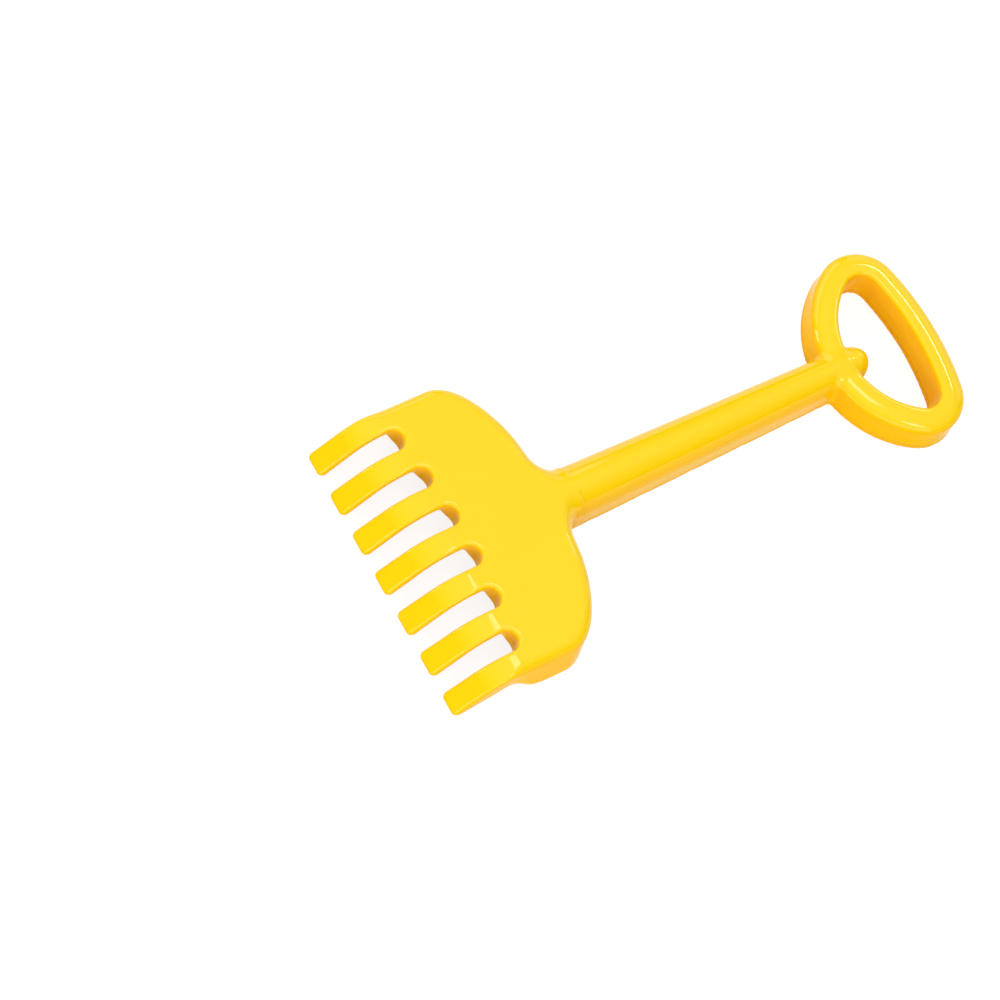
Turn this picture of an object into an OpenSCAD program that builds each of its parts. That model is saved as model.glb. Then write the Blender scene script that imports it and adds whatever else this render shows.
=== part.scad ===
// A child's sand rake: a head with bent tines, a tapering shaft and a loop grip.
// It lies on its tine tips and on the flat back of its shaft and grip.
// X runs along the shaft towards the grip, Y across the head, Z up from the ground.

/* [Tines] */
// Number of tines
tine_count = 7; // [5:2:9]
// Spacing of the tines, centre to centre
tine_pitch = 23.5; // [20:0.5:30]
// Width of a tine
tine_w = 12.5; // [10:0.5:15]
// Depth of a tine
tine_t = 4; // [3.2:0.1:6]
// Radius of the bend on a tine's upper face
bend_r = 30; // [24:1:38]
// Angle through which a tine bends down
bend_angle = 45; // [38:1:52]
// Straight length of a tine past its bend
tine_len = 22; // [18:0.5:30]
// Radius of a tine's tip corners
tip_corner_r = 2.5; // [1:0.25:4]

/* [Head plate] */
// Thickness of the head's moulded wall
head_wall = 2.4; // [1.8:0.1:2.8]
// Depth of the walls round the slots' ends
slot_wall_depth = 16; // [10:0.5:19]
// Distance behind the bend at which the slots' walls start to rise to the tines
ramp_x = 4; // [1:0.5:5]
// Depth of the outer tines' outer walls along the bend
side_depth = 12.5; // [6:0.5:14]
// Distance from the bend to where the skirt's lower edge leaves the ground
heel_x = 10.5; // [9:0.5:18]
// How far the plate's sides stand out past the outer tines
plate_brim = 2.6; // [1:0.2:4]
// Length of the plate's straight sides behind the bend
plate_side_len = 28.5; // [24:0.5:40]
// Length of the rounded shoulders, from the straight sides to the rear edge
shoulder_len = 34; // [26:1:44]
// Roundness of the shoulders, where 2 is an ellipse
shoulder_power = 2; // [1.8:0.02:2.6]
// Rounding of the plate's upper edge
plate_edge_r = 4.5; // [3:0.25:5]
// How far the middle slots reach behind the bend
slot_reach = 11; // [9:0.5:15]
// How far the outermost slots fall short of the middle ones
slot_arc_drop = 6; // [0:0.5:7]
// Thickness of the ribs under the plate
rib_t = 1.8; // [1.2:0.1:2.4]
// Depth of the ribs under the plate
rib_depth = 6; // [4:0.5:8]
// Distance from the bend to the cross rib behind the slots
cross_rib_x = 20; // [18:1:26]

/* [Shaft] */
// Length from the plate's rear edge to the end of the dome
shaft_len = 195.5; // [150:0.5:260]
// Width of the shaft at the plate's rear edge
shaft_neck_w = 28.6; // [24:0.2:32]
// Width of the shaft at the dome
shaft_grip_w = 20.4; // [18:0.2:23]
// Thickness of the shaft's moulded wall
shaft_wall = 2.2; // [1.6:0.1:2.6]
// Length of the neck that belongs to the head
neck_len = 12; // [8:1:20]
// Radius of the gussets between neck and plate
gusset_r = 10; // [6:0.5:13]
// Length of the tongues that plug the pieces together
tongue_len = 28; // [22:1:36]
// Number of cross ribs inside the shaft
shaft_rib_count = 4; // [2:1:6]

/* [Grip] */
// How far the loop's top lies below the crown of the shaft
grip_drop = 1.4; // [0.8:0.1:3]
// Width of the loop's band
band_w = 14; // [11:0.2:15]
// Thickness of the loop's moulded wall
grip_wall = 2.2; // [1.6:0.1:2.6]
// Rounding of the loop's upper edges
band_edge_r = 3.5; // [3:0.25:5]
// How far the dome stands inside the loop
dome_reach = 10.5; // [6:0.5:14]
// Length of the hub before the loop
hub_len = 10; // [6:1:16]
// Radius of the loop's arc at the hub, along the middle of the band
loop_hub_r = 53; // [46:1:68]
// Half angle of the arc at the hub
loop_hub_angle = 59; // [50:1:70]
// Radius of the loop's two corners
loop_corner_r = 16.5; // [14:0.5:26]
// Radius of the bowed end bar
loop_bar_r = 155; // [100:5:300]

/* [Back covers] */
// Thickness of the covers that close the back
cover_t = 3; // [2.4:0.1:4]
// How far the covers' edges stand out past the walls above
cover_lip = 0.7; // [0.3:0.1:1.2]
// Height of the ridge that locates a cover between the walls
ridge_h = 2; // [1:0.25:3]
// Clearance between pieces that plug into each other
fit_clear = 0.15; // [0.05:0.05:0.3]

/* [Pegs] */
// Diameter of a locking peg
peg_d = 5; // [4:0.25:6]
// Length of a locking peg with its head
peg_len = 14; // [11:0.5:16]
// Diameter of a peg's head
peg_head_d = 8; // [7:0.25:9]
// Thickness of a peg's head
peg_head_t = 1.4; // [1:0.1:1.8]
// Spacing of the two pegs in a joint
peg_spacing = 13; // [11:0.5:15]
// Wall of the bosses that the pegs are pressed into
boss_wall = 1.8; // [1.4:0.1:2.2]

/* [Hidden] */
$fn = 72;
yellow = "#FDD82B";

// How far a cut runs past the face that it opens
overrun = 1;
// How far two bodies of one moulding run into each other
fuse = 0.6;
// How far the collars over the loop's joints stand out
collar_out = 0.03;
// Straight steps in a tine's bend, along a shoulder, over the plate's edge and in an arc of the loop;
// the root step is where the skirt's lower edge leaves the bend
bend_steps = 10;
root_step = 3;
shoulder_steps = 22;
edge_steps = 4;
arc_steps = 12;

// The head's own sizes
tine_row_half = (tine_count - 1) / 2 * tine_pitch + tine_w / 2;
head_half_w = tine_row_half + plate_brim;
slot_w = tine_pitch - tine_w;
outer_slot_y = (tine_count - 2) / 2 * tine_pitch;
plate_rear = plate_side_len + shoulder_len;
tip_step = bend_steps + 1;

// A tine's upper face, step by step from the bend to the tip, seen from the side
function bend_at(k) = bend_angle * min(k, bend_steps) / bend_steps;
function face_at(k) = bend_r * [-sin(bend_at(k)), cos(bend_at(k)) - 1]
    - (k == tip_step ? tine_len : 0) * [cos(bend_angle), sin(bend_angle)];
function inward_at(k) = [sin(bend_at(k)), -cos(bend_at(k))];

// The plate stands as high as its tines reach down, and the shaft's crown is level with it
tip_top = face_at(tip_step);
tip_low = tip_top + tine_t * inward_at(tip_step);
plate_h = -tip_low[1];
spring_h = plate_h - shaft_neck_w / 2;
grip_h = spring_h + shaft_grip_w / 2 - grip_drop;

// Places along the shaft
dome_end = plate_rear + shaft_len;
dome_x = dome_end - shaft_grip_w / 2;
hub_x = dome_end - dome_reach - band_w / 2;
neck_seam = plate_rear + neck_len;
grip_seam = hub_x - band_w / 2 - hub_len;
shaft_taper = (shaft_grip_w - shaft_neck_w) / 2 / (dome_x - plate_rear);
function shaft_half(x) = shaft_neck_w / 2 + shaft_taper * (x - plate_rear);
socket_half = shaft_half(neck_seam) - head_wall;
socket_front = neck_seam - tongue_len - fit_clear;

// The loop: an arc at the hub, two corners and the end bar, each tangent to the next
bar_start = 180 - asin((loop_hub_r - loop_corner_r) * sin(loop_hub_angle) / (loop_bar_r - loop_corner_r));
function outward(turn) = [-cos(turn), sin(turn)];
hub_centre = [hub_x + loop_hub_r, 0];
corner_centre = hub_centre + (loop_hub_r - loop_corner_r) * outward(loop_hub_angle);
bar_centre = [corner_centre[0] - (loop_bar_r - loop_corner_r) * outward(bar_start)[0], 0];
loop_end = bar_centre[0] + loop_bar_r;

// The origin is on the ground, halfway along the rake
rake_back = loop_end + band_w / 2 + cover_lip;
rake_middle = (tip_top[0] + rake_back) / 2;
module placed() {
    translate([-rake_middle, 0, 0]) children();
}

// Two pegs side by side along the shaft, about the middle of a tongue
function peg_xs(seam) = [for (side = [-1, 1]) seam - tongue_len / 2 + side * peg_spacing / 2];

// The outline of the plate from a front edge to the shoulders, one half mirrored to the other side.
// It spreads from the tines' width to the full width of the skirt.
function shoulder_at(turn, inset) = [
    plate_side_len + (shoulder_len - inset) * pow(cos(turn), 2 / shoulder_power),
    (head_half_w - inset) * pow(sin(turn), 2 / shoulder_power)];
function half_outline(inset, front) = concat(
    [[front, tine_row_half - inset], [heel_x, head_half_w - inset]],
    [for (k = [0 : shoulder_steps - 1]) shoulder_at(90 - 90 * k / shoulder_steps, inset)]);
function mirrored(points) = [for (k = [len(points) - 1 : -1 : 0]) [points[k][0], -points[k][1]]];
function plate_outline(inset, front) = concat(
    half_outline(inset, front), [shoulder_at(0, inset)], mirrored(half_outline(inset, front)));

// A cap with a rounded upper edge: outlines in levels, each drawn further in than the one below
function edge_inset(k) = k == 0 ? -fuse : plate_edge_r * (1 - cos(90 * k / edge_steps));
function edge_rise(k) = k == edge_steps ? fit_clear : plate_edge_r * (sin(90 * k / edge_steps) - 1);
module plate_cap() {
    count = 2 * shoulder_steps + 5;
    levels = concat([[edge_inset(0), -plate_h - overrun]],
                    [for (k = [0 : edge_steps]) [edge_inset(k), edge_rise(k)]]);
    polyhedron(
        [for (level = levels, point = plate_outline(level[0], tip_top[0] - overrun))
            [point[0], point[1], level[1]]],
        concat(
            [[for (k = [count - 1 : -1 : 0]) k]],
            [[for (k = [0 : count - 1]) (edge_steps + 1) * count + k]],
            [for (j = [0 : edge_steps], k = [0 : count - 1])
                [j * count + (k + 1) % count, (j + 1) * count + (k + 1) % count,
                 (j + 1) * count + k, j * count + k]]));
}

// One tine from above, with round tip corners, and drawn in twice as far at its slanted end
module tine_plan(inset) {
    half = tine_w / 2 - inset;
    corner = max(tip_corner_r - inset, fit_clear);
    front = tip_top[0] + 2 * inset;
    translate([front + corner, -half]) square([fuse - front - corner, 2 * half]);
    translate([front, corner - half]) square([2 * corner, 2 * (half - corner)]);
    for (side = [-1, 1]) translate([front + corner, side * (half - corner)]) circle(corner);
}

// One slot from above, with a round end
module slot_plan(y, inset) {
    half = slot_w / 2 + inset;
    reach = slot_reach - slot_arc_drop * pow(abs(y) / outer_slot_y, 1.5) - slot_w / 2;
    translate([-heel_x - overrun, y - half]) square([reach + heel_x + overrun, 2 * half]);
    translate([reach, y]) circle(half);
}

// The whole head from above
module head_plan(inset) {
    difference() {
        polygon(plate_outline(inset, -heel_x));
        for (k = [0 : tine_count - 2]) slot_plan(k * tine_pitch - outer_slot_y, inset);
    }
    for (k = [0 : tine_count - 1])
        translate([0, (k - (tine_count - 1) / 2) * tine_pitch]) tine_plan(inset);
}

// The upper and lower edges of the head's parts, seen from the side
function upper_edge(depth) = concat(
    [[plate_rear + overrun, -depth]],
    [for (k = [0 : tip_step]) face_at(k) + depth * inward_at(k)]);
function skirt_edge() = concat(
    [tip_low],
    [for (k = [bend_steps : -1 : root_step]) face_at(k) + side_depth * inward_at(k)],
    [[heel_x, -plate_h], [plate_rear + overrun, -plate_h]]);
function tine_edge() = concat(
    [[slot_reach + head_wall + overrun, -slot_wall_depth], [ramp_x, -slot_wall_depth]],
    [for (k = [root_step : tip_step]) face_at(k) + tine_t * inward_at(k)],
    [tip_low - overrun * [cos(bend_angle), sin(bend_angle)]]);
function floor_edge(front, rear) = [[front, -plate_h - 2 * overrun], [rear, -plate_h - 2 * overrun]];

// An outline from the side, drawn out across the head
module side_form(points, half) {
    translate([0, half, 0]) rotate([90, 0, 0]) linear_extrude(2 * half) polygon(points);
}

// The outside of the head: its outline from the side and its outline from above
module head_outside() {
    intersection() {
        side_form(concat(upper_edge(0), skirt_edge()), head_half_w + overrun);
        translate([0, 0, -plate_h - overrun])
            linear_extrude(plate_h + 2 * overrun) head_plan(0);
        plate_cap();
    }
}

// The hollow under the plate and along the tines
module head_hollow() {
    intersection() {
        side_form(concat(upper_edge(head_wall), floor_edge(tip_top[0], plate_rear + overrun)),
                  head_half_w + overrun);
        translate([0, 0, -plate_h - overrun])
            linear_extrude(plate_h + overrun) head_plan(head_wall);
    }
}

// The room below the tines and below the walls round the slots' ends
module tine_room() {
    side_form(concat(tine_edge(), floor_edge(tip_low[0] - overrun, slot_reach + head_wall + overrun)),
              tine_row_half - tine_w / 2);
}

// Ribs under the plate: one across it, and one behind every tine but the outer and middle ones
module head_ribs() {
    rib_top = -head_wall + fuse;
    rib_low = -head_wall - rib_depth;
    intersection() {
        union() {
            translate([cross_rib_x, -head_half_w, rib_low])
                cube([rib_t, 2 * head_half_w, rib_top - rib_low]);
            for (k = [1 : (tine_count - 3) / 2], side = [-1, 1])
                translate([cross_rib_x, side * k * tine_pitch - rib_t / 2, rib_low])
                    cube([plate_rear - cross_rib_x, rib_t, rib_top - rib_low]);
        }
        translate([0, 0, rib_low]) linear_extrude(rib_top - rib_low) head_plan(head_wall - fuse);
    }
}

// A length of shaft: straight sides up to the spring line, and a round crown over it
module crown_body(x0, x1, half0, half1, low) {
    translate([0, 0, low]) linear_extrude(spring_h - low)
        polygon([[x0, -half0], [x1, -half1], [x1, half1], [x0, half0]]);
    intersection() {
        translate([x0, 0, spring_h]) rotate([0, 90, 0]) cylinder(h = x1 - x0, r1 = half0, r2 = half1);
        translate([x0, -half0 - half1, spring_h - fuse])
            cube([x1 - x0, 2 * (half0 + half1), half0 + half1 + fuse]);
    }
}

// The same along the shaft's own taper, drawn in all round
module shaft_body(x0, x1, inset, low) {
    crown_body(x0, x1, shaft_half(x0) - inset, shaft_half(x1) - inset, low);
}

// A flat strip under the shaft that follows its taper
module shaft_plan(x0, x1, inset) {
    polygon([[x0, inset - shaft_half(x0)], [x1, inset - shaft_half(x1)],
             [x1, shaft_half(x1) - inset], [x0, shaft_half(x0) - inset]]);
}
module shaft_strip(x0, x1, inset, low, high) {
    translate([0, 0, low]) linear_extrude(high - low) shaft_plan(x0, x1, inset);
}

// A hollow tongue with two bosses, which a peg from below is pressed into
module tongue(seam, half0, half1, wall) {
    x0 = seam - tongue_len;
    x1 = seam + wall;
    low = cover_t + fit_clear;
    difference() {
        union() {
            difference() {
                crown_body(x0, x1, half0, half1, low);
                crown_body(x0 + wall, x1 + overrun, half0 - wall, half1 - wall, low - overrun);
            }
            intersection() {
                for (x = peg_xs(seam)) translate([x, 0, low])
                    cylinder(h = plate_h, d = peg_d + 2 * boss_wall);
                crown_body(x0 + fuse, x1, half0 - fuse, half1 - fuse, low);
            }
        }
        for (x = peg_xs(seam)) translate([x, 0, 0]) cylinder(h = peg_len + overrun, d = peg_d);
    }
}

// Stepped holes for the pegs through a floor
module peg_holes(seam) {
    for (x = peg_xs(seam)) translate([x, 0, -overrun]) {
        cylinder(h = cover_t + 2 * overrun, d = peg_d + 2 * fit_clear);
        cylinder(h = peg_head_t + overrun, d = peg_head_d + 2 * fit_clear);
    }
}

// Concave gussets between the neck and the plate's rear edge
function shoulder_x(y) = plate_side_len
    + shoulder_len * pow(1 - pow(y / head_half_w, shoulder_power), 1 / shoulder_power);
function gusset_y(turn) = shaft_half(plate_rear) + gusset_r * (1 - sin(turn));
function gusset_edge() = [for (k = [0 : bend_steps]) let (turn = 90 * k / bend_steps)
    [shoulder_x(gusset_y(turn)) + gusset_r * (1 - cos(turn)), gusset_y(turn)]];
module neck_gussets() {
    root = [[shoulder_x(gusset_y(0)) - head_wall, gusset_y(0)]];
    translate([0, 0, cover_t]) linear_extrude(plate_h - slot_wall_depth / 2 - cover_t)
        polygon(concat(root, gusset_edge(), mirrored(gusset_edge()), mirrored(root)));
}

// The head: plate, skirt, tines, ribs and the neck with its socket, one moulding
module rake_head() {
    color(yellow) placed() difference() {
        union() {
            translate([0, 0, plate_h]) {
                difference() {
                    head_outside();
                    head_hollow();
                    tine_room();
                }
                head_ribs();
            }
            neck_gussets();
            crown_body(socket_front - head_wall, plate_rear, socket_half + head_wall,
                       shaft_half(plate_rear), 0);
            shaft_body(plate_rear - fuse, neck_seam, 0, 0);
            shaft_strip(plate_rear, neck_seam, -cover_lip, 0, cover_t);
        }
        crown_body(socket_front, neck_seam + overrun, socket_half, socket_half, cover_t);
        peg_holes(neck_seam);
    }
}

// The shaft: a channel open to the back, with the tongue that plugs into the neck
module shaft_shell() {
    rib_from = neck_seam + shaft_wall;
    rib_step = (grip_seam - tongue_len - rib_from) / (shaft_rib_count + 1);
    color(yellow) placed() {
        difference() {
            shaft_body(neck_seam, grip_seam, 0, cover_t);
            shaft_body(neck_seam + shaft_wall, grip_seam + overrun, shaft_wall, cover_t - overrun);
            crown_body(neck_seam - overrun, neck_seam + shaft_wall + overrun,
                       socket_half - fit_clear - shaft_wall, socket_half - fit_clear - shaft_wall,
                       cover_t - overrun);
        }
        tongue(neck_seam, socket_half - fit_clear, socket_half - fit_clear, shaft_wall);
        for (k = [1 : shaft_rib_count])
            shaft_body(rib_from + k * rib_step, rib_from + k * rib_step + rib_t, shaft_wall - fuse,
                       cover_t + ridge_h + fit_clear);
    }
}

// The strip that closes the shaft's back
module shaft_back_cover() {
    color(yellow) placed() difference() {
        union() {
            shaft_strip(neck_seam, grip_seam, -cover_lip, 0, cover_t);
            shaft_strip(neck_seam + shaft_wall + fit_clear, grip_seam - tongue_len - fit_clear,
                        shaft_wall + fit_clear, cover_t - fuse, cover_t + ridge_h);
        }
        peg_holes(grip_seam);
    }
}

// Carries a section along the loop's arcs, each of which stops short of the next
module loop_arc(centre, radius, from, to, short) {
    trim = short / radius * 180 / PI;
    translate(centre) rotate([0, 0, 180 - to + trim])
        rotate_extrude(angle = to - from - 2 * trim) translate([radius, 0]) children();
}
module along_loop(short) {
    loop_arc(hub_centre, loop_hub_r, -loop_hub_angle, loop_hub_angle, short) children();
    for (side = [0, 1]) mirror([0, side, 0])
        loop_arc(corner_centre, loop_corner_r, loop_hub_angle, bar_start, short) children();
    loop_arc(bar_centre, loop_bar_r, bar_start, 360 - bar_start, short) children();
}

// Collars that bridge the gaps between the arcs
module loop_collars() {
    for (side = [0, 1], turn = [loop_hub_angle, bar_start]) mirror([0, side, 0])
        translate(corner_centre + loop_corner_r * outward(turn)) rotate([90, 0, 180 - turn])
            translate([0, 0, -fuse]) linear_extrude(2 * fuse) children();
}

// Section of the band with two round upper edges
module band_section(half, low, high, edge) {
    translate([-half, low]) square([2 * half, high - edge - low]);
    translate([edge - half, low]) square([2 * (half - edge), high - low]);
    for (side = [-1, 1]) translate([side * (half - edge), high - edge]) circle(edge);
}

// The loop from above, out to a distance from the middle of its band
function arc_points(centre, radius, from, to) = [for (k = [0 : arc_steps - 1])
    centre + radius * outward(from + (to - from) * k / arc_steps)];
function half_loop(off) = concat(
    arc_points(hub_centre, loop_hub_r + off, loop_hub_angle / arc_steps, loop_hub_angle),
    arc_points(corner_centre, loop_corner_r + off, loop_hub_angle, bar_start),
    arc_points(bar_centre, loop_bar_r + off, bar_start, 180));
function loop_outline(off) = concat(half_loop(off), [[loop_end + off, 0]], mirrored(half_loop(off)));
module loop_plan(half) {
    difference() {
        polygon(loop_outline(half));
        polygon(loop_outline(-half));
    }
}

// The dome at the shaft's end: round from above, with the crown carried on to its end
module dome(half, low) {
    intersection() {
        translate([dome_x, 0, low]) cylinder(h = plate_h, r = half);
        crown_body(dome_x - half, dome_x + half + overrun, half, half, low - overrun);
    }
}

// The grip: loop, hub and dome, open to the back, with the tongue that plugs into the shaft
module grip_shell() {
    tongue_half0 = shaft_half(grip_seam - tongue_len) - shaft_wall - fit_clear;
    tongue_half1 = shaft_half(grip_seam) - shaft_wall - fit_clear;
    color(yellow) placed() {
        difference() {
            union() {
                along_loop(fuse / 2) band_section(band_w / 2, cover_t, grip_h, band_edge_r);
                loop_collars() band_section(band_w / 2 + collar_out, cover_t, grip_h + collar_out,
                                            band_edge_r);
                shaft_body(grip_seam, dome_x, 0, cover_t);
                dome(shaft_grip_w / 2, cover_t);
            }
            along_loop(rib_t / 2) band_section(band_w / 2 - grip_wall, cover_t - overrun,
                                               grip_h - grip_wall, band_edge_r - grip_wall);
            shaft_body(grip_seam + grip_wall, dome_x, grip_wall, cover_t - overrun);
            dome(shaft_grip_w / 2 - grip_wall, cover_t - overrun);
            crown_body(grip_seam - overrun, grip_seam + grip_wall + overrun, tongue_half1 - grip_wall,
                       tongue_half1 - grip_wall, cover_t - overrun);
        }
        tongue(grip_seam, tongue_half0, tongue_half1, grip_wall);
    }
}

// The cover that closes the grip's back
module grip_back_cover() {
    rib_gap = rib_t + 2 * fit_clear;
    color(yellow) placed() {
        linear_extrude(cover_t) {
            loop_plan(band_w / 2 + cover_lip);
            shaft_plan(grip_seam, dome_x, -cover_lip);
            translate([dome_x, 0]) circle(shaft_grip_w / 2 + cover_lip);
        }
        translate([0, 0, cover_t - fuse]) linear_extrude(ridge_h + fuse) difference() {
            loop_plan(band_w / 2 - grip_wall - fit_clear);
            for (side = [0, 1], turn = [loop_hub_angle, bar_start]) mirror([0, side])
                translate(corner_centre + loop_corner_r * outward(turn)) rotate(180 - turn)
                    translate([-band_w / 2, -rib_gap / 2]) square([band_w, rib_gap]);
        }
    }
}

// Pressed-in pegs with flat heads
module pegs(seam) {
    color(yellow) placed() for (x = peg_xs(seam)) translate([x, 0, 0]) {
        cylinder(h = peg_len, d = peg_d);
        cylinder(h = peg_head_t, d = peg_head_d);
    }
}
module neck_pegs() pegs(neck_seam);
module grip_pegs() pegs(grip_seam);

rake_head();
shaft_shell();
shaft_back_cover();
grip_shell();
grip_back_cover();
neck_pegs();
grip_pegs();
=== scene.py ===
"""A child's sand rake in glossy yellow plastic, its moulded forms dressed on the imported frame."""
import math

import bmesh
import bpy
import numpy as np
from mathutils import Matrix, Vector


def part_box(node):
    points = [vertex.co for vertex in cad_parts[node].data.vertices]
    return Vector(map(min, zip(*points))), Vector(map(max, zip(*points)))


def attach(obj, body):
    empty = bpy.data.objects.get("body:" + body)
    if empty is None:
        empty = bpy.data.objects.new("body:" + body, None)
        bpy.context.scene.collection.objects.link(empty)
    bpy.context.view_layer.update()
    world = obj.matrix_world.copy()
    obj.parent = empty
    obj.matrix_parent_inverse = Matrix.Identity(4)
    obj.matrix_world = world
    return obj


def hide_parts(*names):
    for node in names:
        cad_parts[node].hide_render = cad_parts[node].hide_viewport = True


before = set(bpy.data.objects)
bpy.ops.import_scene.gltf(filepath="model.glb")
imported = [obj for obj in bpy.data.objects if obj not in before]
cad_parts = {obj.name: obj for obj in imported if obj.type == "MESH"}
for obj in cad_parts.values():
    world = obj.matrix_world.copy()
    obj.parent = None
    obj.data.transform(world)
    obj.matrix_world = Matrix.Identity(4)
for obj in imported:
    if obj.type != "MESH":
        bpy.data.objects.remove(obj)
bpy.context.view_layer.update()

# The rake's sizes are in millimetres. The frame and the scene are in metres.
MM = 0.001

# Tines, as constructed
TINE_COUNT = 7
TINE_PITCH = 23.5
TINE_W = 12.5
TINE_T = 4.0
BEND_R = 30.0
BEND_ANGLE = math.radians(45)
TINE_LEN = 22.0

# Head, as constructed
HEAD_WALL = 2.4
SLOT_WALL_DEPTH = 16.0
SIDE_DEPTH = 12.5
HEEL_X = 10.5
PLATE_BRIM = 2.6
PLATE_SIDE_LEN = 28.5
SHOULDER_LEN = 34.0
SHOULDER_POWER = 2.0
SLOT_REACH = 11.0
SLOT_ARC_DROP = 6.0
RIB_T = 1.8
RIB_DEPTH = 6.0
CROSS_RIB_X = 20.0
GUSSET_R = 10.0

# Shaft, as constructed
SHAFT_NECK_W = 28.6
SHAFT_GRIP_W = 20.4
SHAFT_WALL = 2.2
TONGUE_LEN = 28.0
FIT_CLEAR = 0.15

# Grip, as constructed
GRIP_DROP = 1.4
GRIP_WALL = 2.2
BAND_W = 14.0
DOME_REACH = 10.5
LOOP_HUB_R = 53.0
LOOP_HUB_ANGLE = math.radians(59)
LOOP_CORNER_R = 16.5
LOOP_BAR_R = 155.0

# Covers and pegs, as constructed
COVER_T = 3.0
COVER_LIP = 0.7
PEG_D = 5.0
PEG_LEN = 14.0
PEG_HEAD_D = 8.0
PEG_HEAD_T = 1.4
PEG_SPACING = 13.0

# Head: roundings, leans and curves of its skin
TINE_FLARE = 0.6
TIP_CORNER_R = 2.8
TINE_EDGE_R = 1.8
PLATE_EDGE_R = 6.5
LOWER_EDGE_R = 0.7
ROOT_RUN = 7.0
HEEL_R = 5.0
REAR_LEAN = 1.2
SLOT_ARC_POWER = 1.5
GUSSET_FOOT_R = 1.0
RIB_EDGE_R = 0.5
RIB_FILLET_R = 0.8

# Shaft, grip, covers and pegs: heights, leans and roundings of their skin
SIDE_H = 9.5
FOOT_LEAN = 0.7
FOOT_EDGE_R = 0.35
BAND_ROLL_W = 8.5
BAND_ROLL_DROP = 5.5
BAND_INNER_R = 2.4
DOME_EDGE_R = 6.0
CREASE_R = 0.02
HUB_FILLET_R = 2.6
PEG_SINK = 0.3
PEG_EDGE = 0.4

# Two faint sink marks on the shaft's crown
SINK_DEPTH = 0.12
SINK_R = 5.0
SINK_FROM_NECK = 60.0
SINK_FROM_GRIP = 40.0

# Stretches over which one form passes into another
GUSSET_CLOSES = (6.0, 20.0)  # depth below the plate's top
EDGE_WIDENS = (-14.0, 6.0)  # run from the bend
SLOT_WALL_GROWS = (-8.0, 1.0)  # run from the end of a slot
CROWN_STARTS = (-10.0, 8.0)  # along the rake, from the plate's rear edge
CROWN_NARROWS = (46.0, 20.0)  # away from the middle plane
DOME_SOFTENS = (-1.0, 5.0)  # along the rake, from the dome's centre
DOME_ROUNDS = (2.0, 13.0)  # height above the straight sides
ARCH_LEAD = 6.0  # the neck's arch begins this far before the plate's rear edge
ARCH_REST = 0.5  # and is complete this far before the seam
ARCH_SPARE = 80.0  # room that leaves the plate untouched before that

# Mesh spacing of the moulded forms, and the room round each
HEAD_CELL = 0.79
GRIP_CELL = 0.75
COVER_CELL = 0.7
MARGIN = 1.5
CELL_CORNERS = [(i, j, k) for i in (0, 1) for j in (0, 1) for k in (0, 1)]

# How their points are drawn onto the surface, cut at the seams and shaded
SLOPE_STEP = 0.02
DRAW_ROUNDS = 3
DRAW_REACH = 0.4  # share of a cell
LEAST_SLOPE_SQUARED = 0.25
LEAST_LENGTH = 1e-6
CUT_SNAP = 1e-5
SAME_FACING = 0.8  # cosine between the slope and the mesh's own normal

# Mesh of the shaft and the pegs
SHAFT_POINTS_ALONG = 121
SHAFT_POINTS_ACROSS = 57
PEG_SIDES = 48
PEG_FACE_RINGS = 3
SHARP_ANGLE = math.radians(40)


def box_mm(node):
    """Lowest and highest corner of a CAD node in millimetres."""
    low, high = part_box(node)
    return np.array(low) / MM, np.array(high) / MM


# Places that the frame gives. Along the rake, x counts from the line where the tines start to bend.
head_low, head_high = box_mm("rake_head")
cover_low, cover_high = box_mm("shaft_back_cover")
loop_high = box_mm("grip_back_cover")[1]
BEND_X = head_low[0] + BEND_R * math.sin(BEND_ANGLE) + TINE_LEN * math.cos(BEND_ANGLE)
TIP_X = head_low[0] - BEND_X
PLATE_H = head_high[2]
NECK_SEAM = cover_low[0] - BEND_X
GRIP_SEAM = cover_high[0] - BEND_X
LOOP_END = loop_high[0] - BEND_X - COVER_LIP - BAND_W / 2

# Sizes worked out from those above
TINE_RUN = BEND_R * BEND_ANGLE + TINE_LEN
TINE_ROW_HALF = (TINE_COUNT - 1) / 2 * TINE_PITCH + TINE_W / 2
SLOT_W = TINE_PITCH - TINE_W
OUTER_SLOT_Y = (TINE_COUNT - 2) / 2 * TINE_PITCH
PLATE_REAR = PLATE_SIDE_LEN + SHOULDER_LEN
NECK_BLEND = (PLATE_REAR - ARCH_LEAD, NECK_SEAM - ARCH_REST)
SPRING_H = PLATE_H - SHAFT_NECK_W / 2
CROWN_RISE = SPRING_H - SIDE_H
GRIP_H = SPRING_H + SHAFT_GRIP_W / 2 - GRIP_DROP
BAR_START = math.pi - math.asin(
    (LOOP_HUB_R - LOOP_CORNER_R) * math.sin(LOOP_HUB_ANGLE) / (LOOP_BAR_R - LOOP_CORNER_R))


def outward(turn):
    """Direction from an arc's centre, where a turn of zero points back along the shaft."""
    return np.array([-math.cos(turn), math.sin(turn)])


BAR_CENTRE = np.array([LOOP_END - LOOP_BAR_R, 0.0])
CORNER_CENTRE = BAR_CENTRE + (LOOP_BAR_R - LOOP_CORNER_R) * outward(BAR_START)
HUB_CENTRE = CORNER_CENTRE - (LOOP_HUB_R - LOOP_CORNER_R) * outward(LOOP_HUB_ANGLE)
DOME_END = HUB_CENTRE[0] - LOOP_HUB_R + BAND_W / 2 + DOME_REACH
DOME_X = DOME_END - SHAFT_GRIP_W / 2
SHAFT_TAPER = (SHAFT_NECK_W - SHAFT_GRIP_W) / 2 / (DOME_X - PLATE_REAR)


def shaft_half(x):
    """Half the width of the shaft at a place along it."""
    return SHAFT_NECK_W / 2 - SHAFT_TAPER * (x - PLATE_REAR)


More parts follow.
